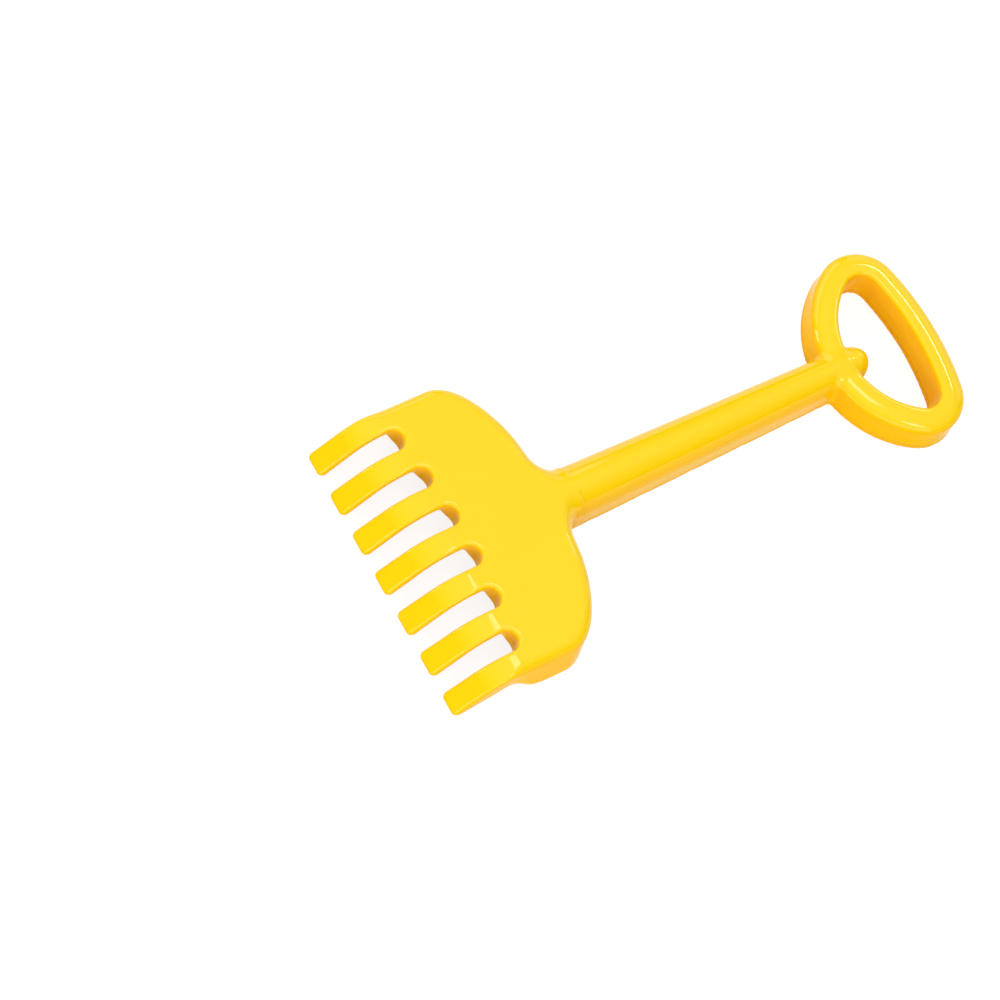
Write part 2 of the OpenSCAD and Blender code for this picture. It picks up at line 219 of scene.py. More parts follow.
SOCKET_HALF = shaft_half(NECK_SEAM) - HEAD_WALL
SOCKET_FRONT = NECK_SEAM - TONGUE_LEN - FIT_CLEAR


def peg_places(seam):
    """Where the two pegs of a plugged joint stand along the shaft."""
    middle = seam - TONGUE_LEN / 2
    return middle - PEG_SPACING / 2, middle + PEG_SPACING / 2


def metres_along(x):
    """A place along the rake in the frame's metres."""
    return (x + BEND_X) * MM


# Distances, negative inside a form and positive outside it

def soft_step(span, value):
    """A soft step from 0 at the start of a span to 1 at its end."""
    start, end = span
    share = np.clip((value - start) / (end - start), 0.0, 1.0)
    return share * share * (3.0 - 2.0 * share)


def round_max(one, other, radius):
    """What two forms share, with a rounded edge between their faces."""
    corner = np.hypot(np.maximum(one + radius, 0.0), np.maximum(other + radius, 0.0))
    return np.minimum(np.maximum(one, other), -radius) + corner


def fillet_min(one, other, radius):
    """Two forms joined, with a hollow fillet between their faces."""
    corner = np.hypot(np.maximum(radius - one, 0.0), np.maximum(radius - other, 0.0))
    return np.maximum(np.minimum(one, other), radius) - corner


def along_tine(x, drop):
    """Run along the upper face, negative past the bend, and depth below that face."""
    ahead = np.maximum(-x, 0.0)
    turn = np.arctan2(ahead, BEND_R - drop)
    bend_depth = BEND_R - np.hypot(ahead, BEND_R - drop)
    past = ahead - BEND_R * math.sin(BEND_ANGLE)
    below = drop - BEND_R * (1.0 - math.cos(BEND_ANGLE))
    tip_run = BEND_R * BEND_ANGLE + past * math.cos(BEND_ANGLE) + below * math.sin(BEND_ANGLE)
    tip_depth = below * math.cos(BEND_ANGLE) - past * math.sin(BEND_ANGLE)
    bent = turn <= BEND_ANGLE
    run = np.where(x >= 0.0, x, -np.where(bent, BEND_R * turn, tip_run))
    depth = np.where(x >= 0.0, drop, np.where(bent, bend_depth, tip_depth))
    return run, depth


def foot_lean(z):
    """How far the straight walls of shaft and grip lean out towards the ground."""
    return FOOT_LEAN * np.clip((SIDE_H - z) / SIDE_H, 0.0, 1.0)


def plate_distance(run, y, depth):
    """Distance from the plate's outline: straight sides and round shoulders that lean out to the ground."""
    lean = np.clip((depth - PLATE_EDGE_R) / (PLATE_H - PLATE_EDGE_R), 0.0, 1.0)
    lean = lean * soft_step((-HEEL_X, HEEL_X), run)
    half = TINE_ROW_HALF + PLATE_BRIM * lean
    reach = SHOULDER_LEN + REAR_LEAN * lean
    back = np.maximum(run - PLATE_SIDE_LEN, 0.0) / reach
    side = np.abs(y) / half
    # the size is 1 on the outline, and is kept off zero in the plate's middle
    least = 0.05
    size = np.maximum((back ** SHOULDER_POWER + side ** SHOULDER_POWER) ** (1 / SHOULDER_POWER), least)
    slope = np.hypot((back / size) ** (SHOULDER_POWER - 1) / reach,
                     (side / size) ** (SHOULDER_POWER - 1) / half)
    return (size - 1.0) / np.maximum(slope, 1.0 / TINE_ROW_HALF ** 2)


def slot_end(y):
    """How far back the slots reach: furthest in the middle of the head, less towards its sides."""
    return SLOT_REACH - SLOT_ARC_DROP * np.minimum(np.abs(y) / OUTER_SLOT_Y, 1.0) ** SLOT_ARC_POWER


def slot_distance(run, y):
    """Distance from the nearest slot, which has a round end and narrows a little towards the tips."""
    place = np.clip(np.round(y / TINE_PITCH - 0.5) + 0.5, 1 - TINE_COUNT / 2, TINE_COUNT / 2 - 1)
    centre = place * TINE_PITCH
    reach = slot_end(centre) - SLOT_W / 2
    half = SLOT_W / 2 - TINE_FLARE * np.clip(-run / TINE_RUN, 0.0, 1.0)
    return np.hypot(np.maximum(run - reach, 0.0), y - centre) - half


def arch_distance(half, y, z):
    """Distance from an arch: straight sides, and a crown a little higher than it is half wide."""
    return np.hypot(y, np.maximum(z - SIDE_H, 0.0) * half / (half + CROWN_RISE)) - half


def crown_distance(x, y, z):
    """Distance from the shaft's form: leaning sides, a round crown, and an end that is round from above."""
    half = shaft_half(np.minimum(x, DOME_X)) + foot_lean(z)
    crown = arch_distance(half, y, z)
    end = np.hypot(np.maximum(x - DOME_X, 0.0), y) - half
    # the end's upper edge is soft, and its sides carry on the shaft's width
    soft = soft_step(DOME_SOFTENS, x - DOME_X) * soft_step(DOME_ROUNDS, z - SIDE_H)
    return round_max(crown, end, CREASE_R + DOME_EDGE_R * soft)


def loop_offset(x, y):
    """Distance from the middle of the loop's band, seen from above: positive outside the loop."""
    side = np.abs(y)

    def arc(centre, radius, start, stop):
        dx = x - centre[0]
        dy = side - centre[1]
        turn = np.clip(np.arctan2(dy, -dx), start, stop)
        away = np.hypot(dx + radius * np.cos(turn), dy - radius * np.sin(turn))
        return np.copysign(away, np.hypot(dx, dy) - radius)

    hub = arc(HUB_CENTRE, LOOP_HUB_R, 0.0, LOOP_HUB_ANGLE)
    corner = arc(CORNER_CENTRE, LOOP_CORNER_R, LOOP_HUB_ANGLE, BAR_START)
    bar = arc(BAR_CENTRE, LOOP_BAR_R, BAR_START, math.pi)
    nearest = np.where(np.abs(hub) < np.abs(corner), hub, corner)
    return np.where(np.abs(bar) < np.abs(nearest), bar, nearest)


def peg_recess(x, y, z, seam):
    """Round recesses in a floor for the heads of two pegs."""
    radius = PEG_HEAD_D / 2 + 2 * FIT_CLEAR
    near, far = peg_places(seam)
    across = np.minimum(np.hypot(x - near, y), np.hypot(x - far, y)) - radius
    return np.maximum(across, z - PEG_HEAD_T - PEG_SINK)


def skirt_edge_distance(x, z, run, depth):
    """Distance below the skirt's lower edge: on the ground, up a heel, then along the outer tines."""
    root_x = SIDE_DEPTH * math.sin(ROOT_RUN / BEND_R) - BEND_R * math.sin(ROOT_RUN / BEND_R)
    root_z = PLATE_H - BEND_R + (BEND_R - SIDE_DEPTH) * math.cos(ROOT_RUN / BEND_R)
    heel_len = math.hypot(HEEL_X - root_x, root_z)
    heel = (root_z * (HEEL_X - x) - (HEEL_X - root_x) * z) / heel_len
    past_bend = np.clip((-run - BEND_R * BEND_ANGLE) / TINE_LEN, 0.0, 1.0)
    side = depth - SIDE_DEPTH - (TINE_T - SIDE_DEPTH) * past_bend
    return fillet_min(side, round_max(heel, -z, HEEL_R), HEEL_R)


def head_skin(x, y, z, run, depth, outline):
    """The head's skin seen from above: plate, tines and slots, and a neck with the shaft's own section."""
    tip = -(run + TINE_RUN)
    top = SHAFT_TAPER * np.maximum(x - PLATE_REAR, 0.0) - depth
    walls = round_max(outline, tip, TIP_CORNER_R)
    gaps = round_max(-slot_distance(run, y), tip, TIP_CORNER_R)
    # the plate's soft edge narrows along the tines and grows into the crown at the neck
    edge = TINE_EDGE_R + (PLATE_EDGE_R - TINE_EDGE_R) * soft_step(EDGE_WIDENS, run)
    at_neck = soft_step(CROWN_STARTS, x - PLATE_REAR) * soft_step(CROWN_NARROWS, np.abs(y))
    edge = edge + (shaft_half(x) - edge) * at_neck
    skin = np.maximum(round_max(walls, top, edge), round_max(gaps, top, TINE_EDGE_R))
    # the neck takes on the shaft's own section before it meets the shaft
    spare = ARCH_SPARE * (1.0 - soft_step(NECK_BLEND, x))
    return np.maximum(skin, arch_distance(shaft_half(x) + foot_lean(z), y, z) - spare)


def head_ribs(run, y, depth):
    """Ribs under the plate: one across it, and others from there back to the rear edge."""
    ribs = np.abs(run - CROSS_RIB_X - RIB_T / 2) - RIB_T / 2
    for place in range(1, (TINE_COUNT - 1) // 2):
        lane = np.abs(np.abs(y) - place * TINE_PITCH) - RIB_T / 2
        ribs = np.minimum(ribs, np.maximum(lane, CROSS_RIB_X - run))
    return round_max(ribs, depth - HEAD_WALL - RIB_DEPTH, RIB_EDGE_R)


def neck_socket(x, y, z):
    """The hollow in the neck that takes the shaft's tongue."""
    socket = np.hypot(y, np.maximum(z - SPRING_H, 0.0)) - SOCKET_HALF
    return np.maximum(np.maximum(socket, SOCKET_FRONT - x), COVER_T - z)


def head_distance(x, y, z):
    """The head: plate, skirt, tines, ribs and the neck with its socket."""
    run, depth = along_tine(x, PLATE_H - z)
    sides = np.abs(y) - shaft_half(x) - foot_lean(z)
    # the fillet beside the neck is wide above and closes towards the ground
    fillet = GUSSET_R - (GUSSET_R - GUSSET_FOOT_R) * soft_step(GUSSET_CLOSES, depth)
    outline = fillet_min(plate_distance(run, y, depth), sides, fillet)
    skin = head_skin(x, y, z, run, depth, outline)
    # the slots' deep walls rise to the thin tines, and the skirt round the plate stands on the ground
    wall_share = soft_step(SLOT_WALL_GROWS, run - slot_end(y))
    tine_low = depth - TINE_T - (SLOT_WALL_DEPTH - TINE_T) * wall_share
    skirt = np.maximum(skin, -outline - HEAD_WALL)
    body = np.minimum(round_max(skin, tine_low, LOWER_EDGE_R),
                      round_max(skirt, skirt_edge_distance(x, z, run, depth), LOWER_EDGE_R))
    body = np.maximum(body, -skin - HEAD_WALL)
    neck = np.maximum(sides, SOCKET_FRONT - HEAD_WALL - x)
    body = np.minimum(body, np.maximum(np.maximum(skin, neck), -z))
    ribs = np.maximum(head_ribs(run, y, depth), skin + HEAD_WALL / 2)
    body = fillet_min(body, ribs, RIB_FILLET_R)
    body = np.maximum(body, -neck_socket(x, y, z))
    return np.maximum(body, -peg_recess(x, y, z, NECK_SEAM))


def grip_distance(x, y, z):
    """The grip: loop, hub and dome, hollow and open to the back."""
    offset = loop_offset(x, y)
    crown = crown_distance(x, y, z)
    # the band's top rolls off softly to the outside and has a crisper edge towards the hand
    reach = BAND_W / 2 + foot_lean(z)
    outer = (offset - reach) * BAND_ROLL_DROP / BAND_ROLL_W
    band = np.maximum(round_max(outer, z - GRIP_H, BAND_ROLL_DROP),
                      round_max(-offset - reach, z - GRIP_H, BAND_INNER_R))
    body = fillet_min(band, crown, HUB_FILLET_R)
    body = np.maximum(body, -np.minimum(band, crown) - GRIP_WALL)
    return np.maximum(body, COVER_T - z)


def cover_distance(plan, z):
    """A cover of even thickness within an outline, with a small rounding where it meets the ground."""
    return round_max(np.maximum(plan, z - COVER_T), -z, FOOT_EDGE_R)


def grip_cover_distance(x, y, z):
    """The cover that closes the grip's back, flush with the walls above it."""
    hub = np.hypot(np.maximum(x - DOME_X, 0.0), y) - shaft_half(np.minimum(x, DOME_X))
    plan = fillet_min(np.abs(loop_offset(x, y)) - BAND_W / 2, hub, HUB_FILLET_R) - foot_lean(z)
    return cover_distance(plan, z)


def shaft_cover_distance(x, y, z):
    """The strip that closes the shaft's back, flush with the walls above it."""
    strip = cover_distance(np.abs(y) - shaft_half(x) - foot_lean(z), z)
    return np.maximum(strip, -peg_recess(x, y, z, GRIP_SEAM))


# Meshes of those forms

def link(piece):
    """Puts an object in the scene."""
    bpy.context.scene.collection.objects.link(piece)
    return piece


def slope_of(distance, points):
    """Direction in which a distance grows fastest, at each point."""
    slope = np.empty_like(points)
    for axis in range(3):
        shift = np.zeros(3)
        shift[axis] = SLOPE_STEP
        ahead = distance(*(points + shift).T)
        behind = distance(*(points - shift).T)
        slope[:, axis] = (ahead - behind) / (2 * SLOPE_STEP)
    return slope


def mean_cut(values, crossed):
    """Mean place within each crossed cell, as a share of it, where the surface cuts the cell's edges."""
    total = np.zeros((len(crossed), 3))
    cuts = np.zeros((len(crossed), 1))
    for start in CELL_CORNERS:
        for axis in range(3):
            if start[axis] == 1:
                continue
            stop = list(start)
            stop[axis] = 1
            first = values[tuple((crossed + start).T)]
            last = values[tuple((crossed + stop).T)]
            cut = (first < 0.0) != (last < 0.0)
            place = np.array(start, float) + np.zeros((len(crossed), 3))
            place[:, axis] = np.where(cut, first / np.where(cut, first - last, 1.0), 0.0)
            total += place * cut[:, None]
            cuts += cut[:, None]
    return total / cuts


def drawn_on(distance, points, cell):
    """Points moved onto the surface itself, each along the slope there."""
    reach = DRAW_REACH * cell
    for _ in range(DRAW_ROUNDS):
        slope = slope_of(distance, points)
        away = distance(*points.T)[:, None]
        move = -away * slope / np.maximum((slope ** 2).sum(1, keepdims=True), LEAST_SLOPE_SQUARED)
        points = points + np.clip(move, -reach, reach)
    return points


def net_faces(inside, number):
    """A four-sided face across each grid edge that the surface cuts, facing outwards."""
    faces = []
    for axis in range(3):
        one, two = [(1, 2), (2, 0), (0, 1)][axis]
        first = [slice(1, -1)] * 3
        first[axis] = slice(0, -1)
        second = [slice(1, -1)] * 3
        second[axis] = slice(1, None)
        before, after = inside[tuple(first)], inside[tuple(second)]
        for entering in (False, True):
            spots = np.argwhere((before != after) & (before == entering))
            spots[:, one] += 1
            spots[:, two] += 1
            ring = []
            for back_one, back_two in ((0, 0), (1, 0), (1, 1), (0, 1)):
                spot = spots.copy()
                spot[:, one] -= back_one
                spot[:, two] -= back_two
                ring.append(number[tuple(spot.T)])
            quads = np.stack(ring, axis=1)
            faces.append(quads if entering else quads[:, ::-1])
    return np.concatenate(faces)


def surface_net(distance, low, high, cell):
    """Points and four-sided faces where a distance is zero, one point in each cell that it crosses."""
    counts = np.ceil((high - low) / cell).astype(int) + 1
    ticks = [low[axis] + cell * np.arange(counts[axis]) for axis in range(3)]
    values = distance(ticks[0][:, None, None], ticks[1][None, :, None], ticks[2][None, None, :])
    values = np.broadcast_to(values, counts)
    inside = values < 0.0
    span = counts - 1
    filled = np.zeros(span, int)
    for i, j, k in CELL_CORNERS:
        filled += inside[i:i + span[0], j:j + span[1], k:k + span[2]]
    crossed = np.argwhere((filled > 0) & (filled < len(CELL_CORNERS)))
    number = np.full(span, -1)
    number[tuple(crossed.T)] = np.arange(len(crossed))
    points = low + cell * (crossed + mean_cut(values, crossed))
    return drawn_on(distance, points, cell), net_faces(inside, number)


def cut_flat(form, x, keep_behind):
    """Cuts a form flat across the shaft and closes the cut."""
    geometry = list(form.verts) + list(form.edges) + list(form.faces)
    cut = bmesh.ops.bisect_plane(
        form, geom=geometry, dist=CUT_SNAP, plane_co=(x, 0, 0), plane_no=(1, 0, 0),
        clear_outer=keep_behind, clear_inner=not keep_behind)["geom_cut"]
    rim = [item for item in cut if isinstance(item, bmesh.types.BMEdge)]
    for edge in rim:
        edge.smooth = False
    bmesh.ops.triangle_fill(form, edges=rim, use_beauty=True)


def shade_by_slope(mesh, soft):
    """Shades a mesh by the form's slope where that agrees with the face, so that a flat cut stays flat."""
    mesh.shade_smooth()
    corner_normals = np.empty(len(mesh.loops) * 3)
    mesh.corner_normals.foreach_get("vector", corner_normals)
    corner_normals = corner_normals.reshape(-1, 3)
    corner_vertex = np.empty(len(mesh.loops), int)
    mesh.loops.foreach_get("vertex_index", corner_vertex)
    wanted = soft[corner_vertex]
    agrees = (wanted * corner_normals).sum(1) > SAME_FACING
    mesh.normals_split_custom_set(np.where(agrees[:, None], wanted, corner_normals))


def moulded(name, distance, low, high, cell, cuts=()):
    """A finished piece from a distance: netted, cut flat at its seams and shaded by the form's own slope."""
    points, faces = surface_net(distance, np.array(low), np.array(high), cell)
    mesh = bpy.data.meshes.new(name)
    mesh.from_pydata(points, [], faces.tolist())
    form = bmesh.new()
    form.from_mesh(mesh)
    for x, keep_behind in cuts:
        cut_flat(form, x, keep_behind)
    bmesh.ops.recalc_face_normals(form, faces=form.faces)
    form.to_mesh(mesh)
    form.free()
    place = np.empty(len(mesh.vertices) * 3)
    mesh.vertices.foreach_get("co", place)
    soft = slope_of(distance, place.reshape(-1, 3))
    soft /= np.maximum(np.linalg.norm(soft, axis=1, keepdims=True), LEAST_LENGTH)
    mesh.transform(Matrix.Translation((BEND_X, 0, 0)))
    mesh.transform(Matrix.Scale(MM, 4))
    shade_by_slope(mesh, soft)
    return link(bpy.data.objects.new(name, mesh))


# Node trees

def place_node(tree, kind, inputs=None, **settings):
    """Adds a node, with each input filled by a socket or by a plain value."""
    node = tree.nodes.new(kind)
    for key, value in settings.items():
        setattr(node, key, value)
    for key, value in (inputs or {}).items():
        if isinstance(value, bpy.types.NodeSocket):
            tree.links.new(value, node.inputs[key])
        else:
            node.inputs[key].default_value = value
    return node


def maths(tree, operation, *values):
    """A sum, product or other simple step, as a socket."""
    node = place_node(tree, "ShaderNodeMath", dict(enumerate(values)), operation=operation)
    return node.outputs[0]


def soft_range(tree, value, low, high):
    """A soft step from 0 at low to 1 at high, as a socket."""
    node = place_node(tree, "ShaderNodeMapRange", {
        "Value": value, "From Min": low, "From Max": high, "To Min": 0.0, "To Max": 1.0},
        interpolation_type="SMOOTHSTEP")
    return node.outputs["Result"]


def between(tree, share, low, high):
    """A value from low, at a share of 0, to high, at a share of 1, as a socket."""
    node = place_node(tree, "ShaderNodeMapRange", {"Value": share, "To Min": low, "To Max": high})
    return node.outputs["Result"]


def colour_between(tree, share, low, high):
    """A colour from low, at a share of 0, to high, at a share of 1, as a socket."""
    # a mix node has several sockets of each name, so its colour sockets go by number
    node = place_node(tree, "ShaderNodeMix", {"Factor": share, 6: low, 7: high}, data_type="RGBA")
    return node.outputs[2]


def shape_tree(name, sizes):
    """An empty geometry tree with named sizes and a material as its inputs."""
    tree = bpy.data.node_groups.new(name, "GeometryNodeTree")
    for size in sizes:
        tree.interface.new_socket(size, in_out="INPUT", socket_type="NodeSocketFloat")
    tree.interface.new_socket("Material", in_out="INPUT", socket_type="NodeSocketMaterial")
    tree.interface.new_socket("Geometry", in_out="OUTPUT", socket_type="NodeSocketGeometry")
    given = tree.nodes.new("NodeGroupInput")
    return tree, given.outputs


def end_tree(tree, geometry, material):
    """Ends a geometry tree with real geometry that carries its material."""
    real = place_node(tree, "GeometryNodeRealizeInstances", {"Geometry": geometry})
    painted = place_node(tree, "GeometryNodeSetMaterial",
                         {"Geometry": real.outputs[0], "Material": material})
    place_node(tree, "NodeGroupOutput", {"Geometry": painted.outputs[0]})


def grown(name, tree, sizes, material, wall=0.0):
    """The plain mesh that a geometry tree makes with these sizes, given a wall if one is asked for."""
    seed = link(bpy.data.objects.new(name + "_seed", bpy.data.meshes.new(name + "_seed")))
    grow = seed.modifiers.new("grow", "NODES")
    grow.node_group = tree
    values = dict(sizes, Material=material)
    for item in tree.interface.items_tree:
        if item.in_out == "INPUT":
            grow[item.identifier] = values[item.name]
    if wall:
        thicken = seed.modifiers.new("wall", "SOLIDIFY")
        thicken.thickness = wall
        thicken.offset = -1.0
    bpy.context.view_layer.update()
    mesh = bpy.data.meshes.new_from_object(seed.evaluated_get(bpy.context.evaluated_depsgraph_get()))
    seed.modifiers.clear()
    bpy.data.objects.remove(seed)
    mesh.name = name
    mesh.set_sharp_from_angle(angle=SHARP_ANGLE)
    return link(bpy.data.objects.new(name, mesh))


def shaft_tree():
    """The shaft's skin: a sheet bent over a round crown with straight sides, tapering along its length."""
    tree, given = shape_tree("tapered_shaft", [
        "Start", "End", "Start half width", "End half width", "Spring height", "Crown rise", "Foot height",
        "Side lean", "Sink depth", "Sink radius", "First sink", "Second sink"])
    sheet = place_node(tree, "GeometryNodeMeshGrid", {
        "Size X": 1.0, "Size Y": 1.0, "Vertices X": SHAFT_POINTS_ALONG, "Vertices Y": SHAFT_POINTS_ACROSS})
    spot = place_node(tree, "ShaderNodeSeparateXYZ", {"Vector": sheet.outputs["UV Map"]})
    along = spot.outputs["X"]
    across = maths(tree, "SUBTRACT", spot.outputs["Y"], 0.5)

    def tapered(start, end):
        change = maths(tree, "SUBTRACT", given[end], given[start])
        return maths(tree, "MULTIPLY_ADD", change, along, given[start])

    x = tapered("Start", "End")
    half = tapered("Start half width", "End half width")
    # across the shaft, the sheet reaches over a quarter turn and down a straight side on each hand
    side = maths(tree, "SUBTRACT", given["Spring height"], given["Foot height"])
    quarter = maths(tree, "MULTIPLY", half, math.pi / 2)
    reach = maths(tree, "MULTIPLY", across, maths(tree, "MULTIPLY", 2.0, maths(tree, "ADD", quarter, side)))
    turn = maths(tree, "DIVIDE", reach, half)
    turn = maths(tree, "MINIMUM", maths(tree, "MAXIMUM", turn, -math.pi / 2), math.pi / 2)
    drop = maths(tree, "MAXIMUM", maths(tree, "SUBTRACT", maths(tree, "ABSOLUTE", reach), quarter), 0.0)
    lean = maths(tree, "MULTIPLY", drop, given["Side lean"])
    lean = maths(tree, "MULTIPLY", maths(tree, "SIGN", reach), lean)
    y = maths(tree, "MULTIPLY_ADD", half, maths(tree, "SINE", turn), lean)
    tall = maths(tree, "ADD", half, given["Crown rise"])
    rise = maths(tree, "MULTIPLY_ADD", tall, maths(tree, "COSINE", turn), given["Spring height"])
    z = maths(tree, "SUBTRACT", rise, drop)
    for sink in ("First sink", "Second sink"):
        away = maths(tree, "ADD", maths(tree, "POWER", maths(tree, "SUBTRACT", x, given[sink]), 2.0),
                     maths(tree, "POWER", y, 2.0))
        fade = maths(tree, "DIVIDE", away, maths(tree, "POWER", given["Sink radius"], 2.0))
        dip = maths(tree, "MULTIPLY", given["Sink depth"],
                    maths(tree, "EXPONENT", maths(tree, "MULTIPLY", fade, -1.0)))
        z = maths(tree, "SUBTRACT", z, dip)
    place = place_node(tree, "ShaderNodeCombineXYZ", {"X": x, "Y": y, "Z": z})
    bent = place_node(tree, "GeometryNodeSetPosition",
                      {"Geometry": sheet.outputs["Mesh"], "Position": place.outputs[0]})
    soft = place_node(tree, "GeometryNodeSetShadeSmooth", {"Geometry": bent.outputs[0]})
    end_tree(tree, soft.outputs[0], given["Material"])
    return tree


def peg_tree():
    """Two pressed-in pegs in a row: a turned form with a softened head, once for each place."""
    tree, given = shape_tree("peg_pair", [
        "Shank radius", "Head radius", "Head height", "Length", "Edge", "First place", "Spacing",
        "Base height"])
    face_radius = maths(tree, "SUBTRACT", given["Head radius"], given["Edge"])
    rings = ((face_radius, 0.0), (given["Head radius"], given["Edge"]),
             (given["Head radius"], given["Head height"]), (given["Shank radius"], given["Head height"]),
             (given["Shank radius"], given["Length"]))
    spans = len(rings) - 1
    drum = place_node(tree, "GeometryNodeMeshCylinder", {
        "Vertices": PEG_SIDES, "Side Segments": spans, "Fill Segments": PEG_FACE_RINGS, "Radius": 1.0,
        "Depth": spans})
    # each ring of a plain drum takes a radius and a height of its own, from the head's face upwards
    place = place_node(tree, "ShaderNodeSeparateXYZ",
                       {"Vector": tree.nodes.new("GeometryNodeInputPosition").outputs[0]}).outputs
    form = tree.nodes.new("GeometryNodeIndexSwitch")
    form.data_type = "VECTOR"
    while len(form.index_switch_items) < len(rings):
        form.index_switch_items.new()
    tree.links.new(maths(tree, "ADD", place["Z"], spans / 2 + 0.5), form.inputs["Index"])
    for count, (radius, height) in enumerate(rings):
        ring = place_node(tree, "ShaderNodeCombineXYZ", {"X": radius, "Y": radius, "Z": height})
        tree.links.new(ring.outputs[0], form.inputs[count + 1])
    size = place_node(tree, "ShaderNodeSeparateXYZ", {"Vector": form.outputs[0]}).outputs
    turned = place_node(tree, "ShaderNodeCombineXYZ", {
        "X": maths(tree, "MULTIPLY", place["X"], size["X"]),
        "Y": maths(tree, "MULTIPLY", place["Y"], size["Y"]), "Z": size["Z"]})
    peg = place_node(tree, "GeometryNodeSetPosition",
                     {"Geometry": drum.outputs["Mesh"], "Position": turned.outputs[0]})
    first = place_node(tree, "ShaderNodeCombineXYZ", {"X": given["First place"], "Z": given["Base height"]})
    step = place_node(tree, "ShaderNodeCombineXYZ", {"X": given["Spacing"]})
    row = place_node(tree, "GeometryNodeMeshLine", {
        "Count": 2, "Start Location": first.outputs[0], "Offset": step.outputs[0]})
    pegs = place_node(tree, "GeometryNodeInstanceOnPoints",
                      {"Points": row.outputs["Mesh"], "Instance": peg.outputs[0]})
    end_tree(tree, pegs.outputs[0], given["Material"])
    return tree


# Finishes

WALL_FACING = 0.3  # upward part of the normal, up to which a face is a wall
TOP_FACING = 0.95  # and from which it is level
SCUFF_FROM = 0.55  # noise above this is a scuff
SCUFF_SINK = -0.4  # share of a scuff that is taken off the height
HAZE = 0.06  # most that the clouds add to the roughness
RIPPLE_HEIGHT = 0.2
SHINE_FADE = 6.0  # the shaft's shine fades over this length on each side of a seam


def moulded_skin_group():
    """Moulded plastic: slow flow shades, faint scuffs, a fine ripple, and plainer walls in a deeper colour
    that is painted shade.
    """
    tree = bpy.data.node_groups.new("moulded_skin", "ShaderNodeTree")
    for name, kind in (("Colour", "NodeSocketColor"), ("Shaded wall colour", "NodeSocketColor"),
                       ("Flow", "NodeSocketFloat"), ("Gloss", "NodeSocketFloat"),
                       ("Scuff", "NodeSocketFloat"), ("Shine", "NodeSocketFloat"),
                       ("Wall shine", "NodeSocketFloat"), ("Shaft shine", "NodeSocketFloat")):
        tree.interface.new_socket(name, in_out="INPUT", socket_type=kind)
    for name, kind in (("Colour", "NodeSocketColor"), ("Roughness", "NodeSocketFloat"),
                       ("Shine", "NodeSocketFloat"), ("Height", "NodeSocketFloat")):
        tree.interface.new_socket(name, in_out="OUTPUT", socket_type=kind)
    given = tree.nodes.new("NodeGroupInput").outputs
    spot = tree.nodes.new("ShaderNodeTexCoord")
    where = spot.outputs["Object"]
    # the plastic is palest where it lies level and a little deeper in its flow lines; its walls take a
    # deeper colour as painted shade
    flow = place_node(tree, "ShaderNodeTexNoise", {"Vector": where, "Scale": 28.0, "Detail": 3.0,
                                                   "Roughness": 0.55, "Distortion": 0.6})
    facing = place_node(tree, "ShaderNodeSeparateXYZ", {"Vector": spot.outputs["Normal"]})
    level = soft_range(tree, facing.outputs["Z"], WALL_FACING, TOP_FACING)
    shade = maths(tree, "MULTIPLY", flow.outputs["Fac"], given["Flow"])
    pale = maths(tree, "MULTIPLY", level, maths(tree, "SUBTRACT", 1.0, shade))
    colour = colour_between(tree, pale, given["Shaded wall colour"], given["Colour"])
    # scuffs run mostly along the rake, where it is dragged and packed
    streak = place_node(tree, "ShaderNodeMapping", {"Vector": where, "Scale": (60.0, 900.0, 900.0)})
    scuffs = place_node(tree, "ShaderNodeTexNoise", {"Vector": streak.outputs[0], "Scale": 1.0,
                                                     "Detail": 4.0, "Roughness": 0.6})
    worn = maths(tree, "MAXIMUM", maths(tree, "SUBTRACT", scuffs.outputs["Fac"], SCUFF_FROM), 0.0)
    scuff = maths(tree, "MULTIPLY", worn, given["Scuff"])
    cloud = place_node(tree, "ShaderNodeTexNoise", {"Vector": where, "Scale": 160.0, "Detail": 2.0})
    haze = maths(tree, "MULTIPLY_ADD", cloud.outputs["Fac"], HAZE, given["Gloss"])
    ripple = place_node(tree, "ShaderNodeTexNoise", {"Vector": where, "Scale": 420.0, "Detail": 1.0})
    # the shaft's polished sides mirror more than the other walls, and fade into them at both ends
    along = place_node(tree, "ShaderNodeSeparateXYZ", {"Vector": where}).outputs["X"]

    def past(seam):
        return soft_range(tree, along, metres_along(seam) - SHINE_FADE * MM,
                          metres_along(seam) + SHINE_FADE * MM)

    on_shaft = maths(tree, "SUBTRACT", past(NECK_SEAM), past(GRIP_SEAM))
    wall_shine = between(tree, on_shaft, given["Wall shine"], given["Shaft shine"])
    place_node(tree, "NodeGroupOutput", {
        "Colour": colour, "Roughness": maths(tree, "ADD", haze, scuff),
        "Shine": between(tree, level, wall_shine, given["Shine"]),
        "Height": maths(tree, "ADD", ripple.outputs["Fac"], maths(tree, "MULTIPLY", scuff, SCUFF_SINK))})
    return tree


